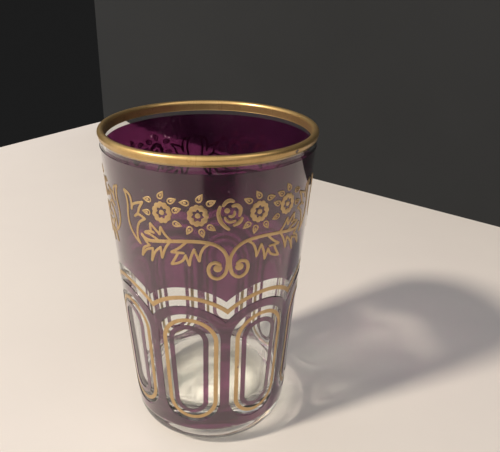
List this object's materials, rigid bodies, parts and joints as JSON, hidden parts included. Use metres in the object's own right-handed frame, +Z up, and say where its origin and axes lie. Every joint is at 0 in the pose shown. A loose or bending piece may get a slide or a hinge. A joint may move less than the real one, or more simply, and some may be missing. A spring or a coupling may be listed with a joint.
{
  "type": "moroccan tea glass",
  "caption": "Tapered clear tea glass with a gold lip, a plum coat with gold flower garlands, and an arcade of round-ended clear windows lined in gold and plum.",
  "frame": {"origin": "centre of the foot, on the table that the glass stands on", "axes": "+Z up along the glass's own axis, -Y out through the bar between two windows under the first garland"},
  "size_m": [0.0576, 0.0576, 0.0901],
  "materials": {
    "clear_glass": "polished, clear",
    "plum_coat": "glossy translucent fired coat",
    "bright_gold": "satin fired gold"
  },
  "bodies": {
    "root": {"glass_body": "clear_glass", "plum_wall_coat": "plum_coat", "plum_arcade_coat": "plum_coat", "plum_window_ring_1": "plum_coat", "plum_window_ring_2": "plum_coat", "plum_window_ring_3": "plum_coat", "plum_window_ring_4": "plum_coat", "plum_window_ring_5": "plum_coat", "plum_window_ring_6": "plum_coat", "plum_window_ring_7": "plum_coat", "plum_window_ring_8": "plum_coat", "gold_lip_band": "bright_gold", "gold_arcade_line": "bright_gold", "gold_window_ring_1": "bright_gold", "gold_window_ring_2": "bright_gold", "gold_window_ring_3": "bright_gold", "gold_window_ring_4": "bright_gold", "gold_window_ring_5": "bright_gold", "gold_window_ring_6": "bright_gold", "gold_window_ring_7": "bright_gold", "gold_window_ring_8": "bright_gold", "garland_1_vine": "bright_gold", "garland_1_leaves": "bright_gold", "garland_1_blossoms": "bright_gold", "garland_1_rose": "bright_gold", "garland_1_leaflets": "bright_gold", "garland_1_end_leaves": "bright_gold", "garland_2_vine": "bright_gold", "garland_2_leaves": "bright_gold", "garland_2_blossoms": "bright_gold", "garland_2_rose": "bright_gold", "garland_2_leaflets": "bright_gold", "garland_2_end_leaves": "bright_gold", "garland_3_vine": "bright_gold", "garland_3_leaves": "bright_gold", "garland_3_blossoms": "bright_gold", "garland_3_rose": "bright_gold", "garland_3_leaflets": "bright_gold", "garland_3_end_leaves": "bright_gold"}
  },
  "joints": []
}
